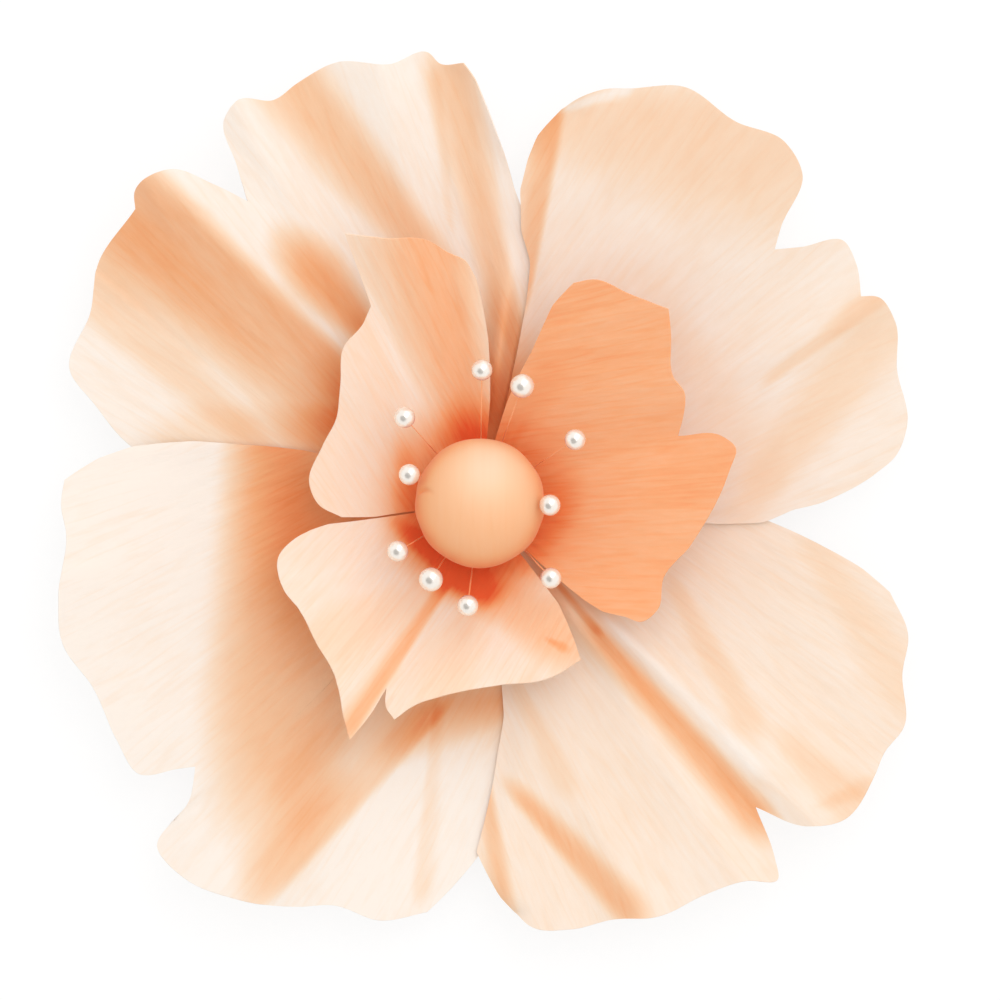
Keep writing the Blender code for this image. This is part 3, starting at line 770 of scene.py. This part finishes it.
# %% Fine petals
SHEET = 0.28 * MM
FINE_PITCH = 0.55 * MM
ROW_PITCH = 1.2 * MM
FREE_FROM, FREE_OVER = 0.35, 0.3  # the shares of the reach at which crinkles begin, and over which they grow
GATHER_REACH = 22 * MM
PLEATS_ROUND, UNEVEN_ROUND, SHIFT_ROUND = 29, 11, 7  # waves round the whole flower
SEED_STEP, INNER_SEED = 1.7, 20
CUT_ANGLE, NO_CUT_ANGLE = 60, 180


def grid_mesh(name, x, y, z):
    """A mesh over a grid of places, with its faces pointing up for a grid that runs counterclockwise."""
    rows, columns = x.shape
    index = np.arange(rows * columns).reshape(rows, columns)
    faces = np.stack([index[:-1, :-1], index[1:, :-1], index[1:, 1:], index[:-1, 1:]], axis=-1)
    mesh = bpy.data.meshes.new(name)
    mesh.from_pydata(np.stack([x, y, z], axis=-1).reshape(-1, 3).tolist(), [], faces.reshape(-1, 4).tolist())
    return mesh


def add_values(mesh, name, values):
    """One number for each vertex, under a name that the node trees read."""
    mesh.attributes.new(name, "FLOAT", "POINT").data.foreach_set("value", values.astype(np.float32).ravel())


def add_grain(mesh, u, v):
    """The grain as a UV map, from one u and v a vertex."""
    corners = np.zeros(len(mesh.loops), dtype=np.int32)
    mesh.loops.foreach_get("vertex_index", corners)
    both = np.stack([u.ravel()[corners], v.ravel()[corners]], axis=-1).astype(np.float32)
    mesh.uv_layers.new(name="grain").data.foreach_set("uv", both.ravel())


def finish_piece(made, sharp_angle, slot, *replaced):
    """Turns an object's modifiers into a plain mesh with sharp cut edges, in place of the CAD's nodes."""
    graph = bpy.context.evaluated_depsgraph_get()
    mesh = bpy.data.meshes.new_from_object(made.evaluated_get(graph))
    made.modifiers.clear()
    made.data = mesh
    mesh.shade_smooth()
    mesh.set_sharp_from_angle(angle=sharp_angle * DEGREE)
    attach(made, "root")
    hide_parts(*replaced)
    mesh.calc_loop_triangles()
    print(made.name, "triangles:", len(mesh.loop_triangles))


def new_object(name, data):
    made = bpy.data.objects.new(name, data)
    bpy.context.scene.collection.objects.link(made)
    return made


def drape_petal(name, petal, ring, finish, slot, seed):
    rows = round((ring["reach"] - ring["claw"]) / ROW_PITCH)
    x, y, across = petal_plan(petal, ring, FINE_PITCH, rows)
    z = petal_height(petal, x, y, across, ring)
    mesh = grid_mesh(name, x, y, z)
    radii = np.hypot(x, y)
    # Dye and painted shade, one number a point
    add_values(mesh, "dye_and_shading", petal_dye_and_shading(name, x, y))
    add_values(mesh, "free", smoothstep((radii / ring["reach"] - FREE_FROM) / FREE_OVER))
    add_values(mesh, "gather", 1 - smoothstep((radii - ring["claw"]) / GATHER_REACH))
    around = np.arctan2(y, x)
    uneven = 0.6 + 0.4 * np.sin(around * UNEVEN_ROUND + 2 * seed)
    shift = 2 * np.sin(around * SHIFT_ROUND + seed)
    add_values(mesh, "pleat", uneven * np.sin(around * PLEATS_ROUND + shift))
    add_grain(mesh, *petal_grain(name, x, y))
    made = new_object(name + "_crepe", mesh)
    ridges = made.modifiers.new("ridges", "NODES")
    ridges.node_group = CREPE_RIDGES
    set_inputs(ridges, {**PETAL_RELIEF, "Seed": seed, "Material": finish})
    wall = made.modifiers.new("paper", "SOLIDIFY")
    wall.thickness = SHEET
    wall.offset = 0.0
    finish_piece(made, CUT_ANGLE, slot, name)


for number, (name, petal) in enumerate(OUTER_PETALS.items()):
    drape_petal(name, petal, OUTER_RING, OUTER_CREPE, "outer_crepe", SEED_STEP * number)
for number, (name, petal) in enumerate(INNER_PETALS.items()):
    drape_petal(name, petal, INNER_RING, INNER_CREPE, "inner_crepe", INNER_SEED + SEED_STEP * number)

# %% [markdown]
# ## The covered ball
# A circle of crepe is pulled over a foam ball and gathered underneath. Pulled this hard the crepe loses
# nearly all its ridges. Below, the spare paper stands in pleats round the opening, and one small pinch shows
# at the left. A sphere primitive has neither, so the cover is a grid from the top down, moved in and out by
# rule.

# %% The ball's cover
cover_low, cover_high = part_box("ball_cover")
BALL_RADIUS = (cover_high.x - cover_low.x) / 2
BALL_HEIGHT = cover_high.z - BALL_RADIUS
GATHER_ANGLE = 148 * DEGREE
PINCH_AZIMUTH, PINCH_LOW, PINCH_HIGH = 172 * DEGREE, 74 * DEGREE, 40 * DEGREE
PINCH_WIDTH, LIP_WIDTH, LIP_AWAY = 0.55 * MM, 0.6 * MM, 0.9 * MM
PLEAT_DEPTH, SLACK_DEPTH, PINCH_DEPTH, LIP_HEIGHT = 0.5 * MM, 0.16 * MM, 0.5 * MM, 0.08 * MM
GATHER_PLEATS = 36
COVER_INSET = 0.02 * MM
BALL_COLUMNS, BALL_ROWS = 289, 110
# Painted highlight: a paler spot near the top of the ball; the side away from the lit azimuth gets painted
# shade
HIGHLIGHT_X, HIGHLIGHT_Y, HIGHLIGHT_RADIUS = 1.5 * MM, 7.0 * MM, 7.5 * MM
LIT_SIDE = 35 * DEGREE


def on_ball(azimuth, tilt, radius):
    """A place on the ball, by its angle round the axis and its tilt from the top."""
    return (
        radius * np.sin(tilt) * np.cos(azimuth),
        radius * np.sin(tilt) * np.sin(azimuth),
        BALL_HEIGHT + radius * np.cos(tilt),
    )


def pinch_run(azimuth, tilt):
    """How firmly the pinch is held, and the distance across it."""
    run = (PINCH_LOW - tilt) / (PINCH_LOW - PINCH_HIGH)
    across = (azimuth - PINCH_AZIMUTH + 0.10 * np.sin(run * 3)) * np.sin(tilt) * BALL_RADIUS
    return smoothstep(run * 4) * smoothstep((1 - run) * 1.5), across


def bell(distance, width):
    return np.exp(-((distance / width) ** 2))


def ball_relief(azimuth, tilt):
    """How far the paper stands in from the smooth ball."""
    pleats = smoothstep((tilt - 105 * DEGREE) / (40 * DEGREE))
    pleats = pleats * (0.5 + 0.5 * np.cos(azimuth * GATHER_PLEATS))
    slack = 0.5 + 0.5 * np.sin(azimuth * 9 + 2 * np.sin(tilt * 4 + azimuth * 2))
    slack = slack * smoothstep((tilt - 40 * DEGREE) / (45 * DEGREE))
    held, across = pinch_run(azimuth, tilt)
    pinch = held * bell(across, PINCH_WIDTH)
    lip = held * bell(across - LIP_AWAY, LIP_WIDTH)
    return PLEAT_DEPTH * pleats + SLACK_DEPTH * slack + PINCH_DEPTH * pinch - LIP_HEIGHT * lip


def ball_dye_and_shading(azimuth, tilt, x, y):
    """The cover's tone with painted light: a painted highlight near the top, painted shade below, on the side
    turned from the lamps and in the pinch.
    """
    painted_light = bell(np.hypot(x - HIGHLIGHT_X, y - HIGHLIGHT_Y), HIGHLIGHT_RADIUS) * (tilt < math.pi / 2)
    shade_below = smoothstep((tilt / DEGREE - 50) / 40)
    shaded_side = smoothstep((tilt / DEGREE - 35) / 45) * (0.5 - 0.5 * np.cos(azimuth - LIT_SIDE))
    held, across = pinch_run(azimuth, tilt)
    line = held * bell(across, 0.5 * MM)
    return 0.55 - 0.24 * painted_light + 0.20 * shade_below + 0.12 * shaded_side + 0.05 * line


def cover_ball():
    """The ball's cover, welded along the line where the grid meets itself."""
    azimuth, tilt = np.meshgrid(
        np.linspace(0, 2 * math.pi, BALL_COLUMNS), np.linspace(0, GATHER_ANGLE, BALL_ROWS)
    )
    x, y, z = on_ball(azimuth, tilt, BALL_RADIUS - COVER_INSET - ball_relief(azimuth, tilt))
    mesh = grid_mesh("ball_cover", x, y, z)
    # The cover's tone, with its painted highlight and painted shade
    add_values(mesh, "dye_and_shading", ball_dye_and_shading(azimuth, tilt, x, y))
    add_values(mesh, "crest", np.zeros_like(tilt))
    add_grain(mesh, x.ravel(), y.ravel() + z.ravel())
    mesh.materials.append(BALL_CREPE)
    made = new_object("ball_cover_crepe", mesh)
    weld = made.modifiers.new("seam", "WELD")
    weld.merge_threshold = 0.02 * MM
    wall = made.modifiers.new("paper", "SOLIDIFY")
    wall.thickness = SHEET
    wall.offset = -1.0
    finish_piece(made, CUT_ANGLE, "ball_crepe", "ball_cover")


cover_ball()

# %% [markdown]
# ## Pearl-tipped stamens
# Each stamen is a stiff thread dipped in lacquer, with a round pearl at its tip. The pearls' places and sizes
# come from the frame. The threads' middle lines are laid out here as edges, and one Geometry Nodes tree turns
# every line into a tube. A second tree sets a pearl on each of the pearls' places, at the size it carries.

# %% Stamen tree
FILAMENT_RADIUS = 0.25 * MM
SHOWN_RADIUS = 0.12 * MM
SEAT_GAP = 0.3 * MM
FOOT_INSET = 2.5 * MM
WAIST_CLEARANCE, WAIST_SHARE, WAIST_DROP = 1.2 * MM, 0.18, 1 * MM
KNEE_BEND = 0.6 * MM
THREAD_PITCH = 0.6 * MM
IN_PEARL = 0.9  # where the thread ends, as a share of the pearl's radius
PEARLS = sorted(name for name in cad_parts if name.startswith("pearl_"))


def thread_line(low, high):
    """The middle line of a thread, from under the ball to its pearl."""
    pearl = np.array((low + high) / 2)
    size = (high.z - low.z) / 2
    azimuth = math.atan2(pearl[1], pearl[0])
    outward = np.array([math.cos(azimuth), math.sin(azimuth), 0.0])
    out = math.hypot(pearl[0], pearl[1]) - BALL_RADIUS
    foot_radius = BALL_RADIUS - FOOT_INSET
    flat, reach = INNER_RING["flat"], INNER_RING["reach"]
    bowl = INNER_RING["rise"] * ((foot_radius - flat) / (reach - flat)) ** INNER_RING["cup"]
    foot = outward * foot_radius
    foot[2] = INNER_RING["seat"] + bowl + PAPER / 2 + SEAT_GAP + 2 * FILAMENT_RADIUS
    waist = outward * (BALL_RADIUS + WAIST_CLEARANCE + out * WAIST_SHARE)
    waist[2] = BALL_HEIGHT - WAIST_DROP
    lean = pearl - waist
    tip = pearl - lean / np.linalg.norm(lean) * size * IN_PEARL
    knee = (foot + waist) / 2 + outward * KNEE_BEND - np.array([0, 0, KNEE_BEND])
    run = smooth_run(np.array([foot, knee, waist, tip]), THREAD_PITCH)
    return np.array([*run, tip]), pearl, size


def stamen_tree():
    tree = bpy.data.node_groups.new("stamens", "GeometryNodeTree")
    group_in, group_out = tree_sockets(
        tree,
        [
            ("Geometry", GEOMETRY, None),
            ("Thread Radius", FLOAT, SHOWN_RADIUS),
            ("Thread Material", "NodeSocketMaterial", None),
        ],
        [("Geometry", GEOMETRY)],
    )
    sizes = group_in.outputs
    line = add(tree, "GeometryNodeMeshToCurve", None, {"Mesh": sizes["Geometry"]})
    ring = add(
        tree, "GeometryNodeCurvePrimitiveCircle", None,
        {"Resolution": 10, "Radius": sizes["Thread Radius"]},
    )
    tube = add(
        tree, "GeometryNodeCurveToMesh", None,
        {"Curve": line.outputs[0], "Profile Curve": ring.outputs[0], "Fill Caps": True},
    )
    finish_tree(tree, tube.outputs[0], sizes["Thread Material"], group_out)
    return tree


def pearl_tree():
    tree = bpy.data.node_groups.new("pearls", "GeometryNodeTree")
    group_in, group_out = tree_sockets(
        tree,
        [("Geometry", GEOMETRY, None), ("Pearl Material", "NodeSocketMaterial", None)],
        [("Geometry", GEOMETRY)],
    )
    sizes = group_in.outputs
    ball = add(tree, "GeometryNodeMeshUVSphere", None, {"Segments": 40, "Rings": 24, "Radius": 1.0})
    size = named_number(tree, "size")
    set_out = add(
        tree, "GeometryNodeInstanceOnPoints", None,
        {"Points": sizes["Geometry"], "Instance": ball.outputs["Mesh"], "Scale": size},
    )
    finish_tree(tree, set_out.outputs[0], sizes["Pearl Material"], group_out)
    return tree


print("pearls in the frame:", len(PEARLS))


# %% Pearl lacquer and thread
def pearl_material():
    """Pearl lacquer: a cloudy, half metallic cream body under a clear coat."""
    made, tree = new_material("pearl_lacquer")
    cloud = noise(tree, own_place(tree), 900.0)
    tint = between(tree, cloud, (0.91, 0.85, 0.78), (0.94, 0.89, 0.83))
    rough = math_node(tree, "MULTIPLY_ADD", cloud, 0.06, 0.22)
    body = add(
        tree, "ShaderNodeBsdfPrincipled", None,
        {
            "Base Color": tint, "Roughness": rough, "Metallic": 0.5, "Specular IOR Level": 0.8,
            "Coat Weight": 0.6, "Coat Roughness": 0.12,
        },
    )
    surface_out(tree, body)
    return made


def dull_surface(tree, pattern, first, second, roughness, relief):
    """Ends a material whose colour and relief follow one pattern. Relief is the height in metres."""
    bump = add(tree, "ShaderNodeBump", None, {"Distance": relief, "Height": pattern})
    body = add(
        tree, "ShaderNodeBsdfPrincipled", None,
        {
            "Base Color": between(tree, pattern, first, second), "Roughness": roughness,
            "Normal": bump.outputs[0],
        },
    )
    surface_out(tree, body)


def thread_material():
    """Peach orange thread with its twist as fine slanted lines."""
    made, tree = new_material("thread")
    strands = add(
        tree, "ShaderNodeTexWave", {"bands_direction": "DIAGONAL"},
        {"Vector": own_place(tree), "Scale": 900.0},
    ).outputs["Fac"]
    dull_surface(tree, strands, (0.97, 0.38, 0.16), (0.98, 0.50, 0.27), 0.45, 0.05 * MM)
    return made


# %% Build the stamens
def build_stamens():
    points, edges, pearls, widths = [], [], [], []
    for name in PEARLS:
        line, pearl, size = thread_line(*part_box(name))
        first = len(points)
        points += line.tolist()
        edges += [(i, i + 1) for i in range(first, len(points) - 1)]
        pearls.append(pearl.tolist())
        widths.append(size)
    lines = bpy.data.meshes.new("filaments")
    lines.from_pydata(points, edges, [])
    threads = new_object("filament_threads", lines)
    twist = threads.modifiers.new("threads", "NODES")
    twist.node_group = stamen_tree()
    set_inputs(twist, {"Thread Radius": SHOWN_RADIUS, "Thread Material": thread_material()})
    places = bpy.data.meshes.new("pearls")
    places.from_pydata(pearls, [], [])
    add_values(places, "size", np.array(widths))
    tips = new_object("pearl_tips", places)
    string = tips.modifiers.new("pearls", "NODES")
    string.node_group = pearl_tree()
    set_inputs(string, {"Pearl Material": pearl_material()})
    for made, kind, slot in ((threads, "filament_", "thread"), (tips, "pearl_", "pearl_lacquer")):
        finish_piece(made, NO_CUT_ANGLE, slot, *[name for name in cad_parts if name.startswith(kind)])


build_stamens()

# %% [markdown]
# ## Card and foam
# The card disc under the flower and the foam inside the ball are plain and hardly seen. Both keep their CAD
# meshes and get a finish of their own: peach coloured board fibres and moulded foam beads.

# %% Card and foam finishes
def card_material():
    made, tree = new_material("card")
    fibres = noise(tree, own_place(tree), 1500.0, 4.0, 0.7)
    rough = math_node(tree, "MULTIPLY_ADD", fibres, 0.15, 0.75)
    dull_surface(tree, fibres, (0.80, 0.52, 0.34), (0.92, 0.70, 0.53), rough, 0.05 * MM)
    return made


def foam_material():
    """Moulded foam beads. The relief is below 0, since the pattern grows away from each bead's middle."""
    made, tree = new_material("foam")
    beads = add(
        tree, "ShaderNodeTexVoronoi", None, {"Vector": own_place(tree), "Scale": 600.0}
    ).outputs["Distance"]
    rough = math_node(tree, "MULTIPLY_ADD", beads, 0.2, 0.7)
    dull_surface(tree, beads, (0.96, 0.95, 0.93), (0.88, 0.86, 0.83), rough, -0.2 * MM)
    return made


for node, finish in (("backing_disc", card_material()), ("ball_core", foam_material())):
    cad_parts[node].data.materials.clear()
    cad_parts[node].data.materials.append(finish)
    print(node, "finish:", finish.name)

# %% [markdown]
# ## Floor, light and camera
# The flower lies on a plain white floor. Two square lamps stand to its upper right, one halfway up and one
# nearly overhead, and an even white world fills in from all round. To the camera most of the floor is white
# light, and the rest still takes the flower's soft shadow. A dark card over the flower is seen in gloss alone.

# %% The floor
FLOOR_HALF = 2.0
FLOOR_WHITE = 0.8  # the share of the floor that is plain light to the camera


def floor_material():
    """A diffuse board to the lamps, and mostly plain white light to the camera and in gloss."""
    made, tree = new_material("floor")
    rays = add(tree, "ShaderNodeLightPath").outputs
    seen = math_node(tree, "MAXIMUM", rays["Is Camera Ray"], rays["Is Glossy Ray"])
    seen = math_node(tree, "MAXIMUM", seen, rays["Is Transmission Ray"])
    share = math_node(tree, "MULTIPLY", seen, FLOOR_WHITE)
    board = add(tree, "ShaderNodeBsdfDiffuse", None, {"Color": (0.9, 0.9, 0.9, 1)})
    white = add(tree, "ShaderNodeEmission", None, {"Color": (1, 1, 1, 1), "Strength": 1.03})
    mixed = add(tree, "ShaderNodeMixShader", None, {0: share, 1: board.outputs[0], 2: white.outputs[0]})
    surface_out(tree, mixed)
    return made


floor_mesh = bpy.data.meshes.new("floor")
corners = [(x * FLOOR_HALF, y * FLOOR_HALF, 0) for x, y in ((-1, -1), (1, -1), (1, 1), (-1, 1))]
floor_mesh.from_pydata(corners, [], [(0, 1, 2, 3)])
floor_mesh.materials.append(floor_material())
new_object("floor", floor_mesh)
print("floor, in metres:", 2 * FLOOR_HALF)


# %% Lamps and world
# Azimuth and elevation in degrees, distance and size in metres, power in watts
KEY_LIGHT = (60, 42, 1.0, 0.8, 2.0)
TOP_LIGHT = (60, 76, 1.2, 0.7, 2.4)
WORLD_LEVEL = 0.93
WORLD_COLOUR = (1.0, 0.99, 0.975, 1)
DARK_RADIUS = 0.50
DARK_PLACE = (-0.32, -0.22, 0.70)


def soft_lamp(name, azimuth, elevation, distance, size, power):
    """A square lamp that looks at the flower."""
    lamp = bpy.data.lights.new(name, "AREA")
    lamp.size = size
    lamp.energy = power
    made = new_object(name, lamp)
    azimuth, elevation = azimuth * DEGREE, elevation * DEGREE
    made.location = (
        distance * math.cos(elevation) * math.cos(azimuth),
        distance * math.cos(elevation) * math.sin(azimuth),
        distance * math.sin(elevation),
    )
    made.rotation_euler = (math.pi / 2 - elevation, 0, azimuth + math.pi / 2)
    print(name, "at", [round(v, 3) for v in made.location])


def dark_card():
    """A dark round card that only gloss picks up. The pearls show it, as they would a dark camera."""
    card = bpy.data.meshes.new("dark_card")
    made = bmesh.new()
    bmesh.ops.create_circle(made, cap_ends=True, segments=48, radius=DARK_RADIUS)
    made.to_mesh(card)
    made.free()
    black, tree = new_material("dark_card")
    surface_out(tree, add(tree, "ShaderNodeBsdfDiffuse", None, {"Color": (0.02, 0.02, 0.02, 1)}))
    card.materials.append(black)
    shown = new_object("dark_card", card)
    shown.location = DARK_PLACE
    for rays in ("camera", "diffuse", "transmission", "volume_scatter", "shadow"):
        setattr(shown, "visible_" + rays, False)


dark_card()
soft_lamp("key_lamp", *KEY_LIGHT)
soft_lamp("top_lamp", *TOP_LIGHT)
world = bpy.data.worlds.new("studio")
bpy.context.scene.world = world
world.use_nodes = True
world.node_tree.nodes.clear()
rays = add(world.node_tree, "ShaderNodeLightPath").outputs
level = math_node(world.node_tree, "MULTIPLY_ADD", rays["Is Camera Ray"], 1 - WORLD_LEVEL, WORLD_LEVEL)
sky = add(world.node_tree, "ShaderNodeBackground", None, {"Color": WORLD_COLOUR, "Strength": level})
add(world.node_tree, "ShaderNodeOutputWorld", None, {"Surface": sky.outputs[0]})

# %% The camera, straight above
SENSOR_WIDTH, FOCAL_LENGTH = 36, 358.5  # millimetres
CAMERA_PLACE = (4.0 * MM, 0.6 * MM, 2.0)
camera_data = bpy.data.cameras.new("camera")
camera_data.sensor_width = SENSOR_WIDTH
camera_data.lens = FOCAL_LENGTH
camera = new_object("camera", camera_data)
camera.location = CAMERA_PLACE
bpy.context.scene.camera = camera
bpy.context.scene.view_settings.view_transform = "Standard"
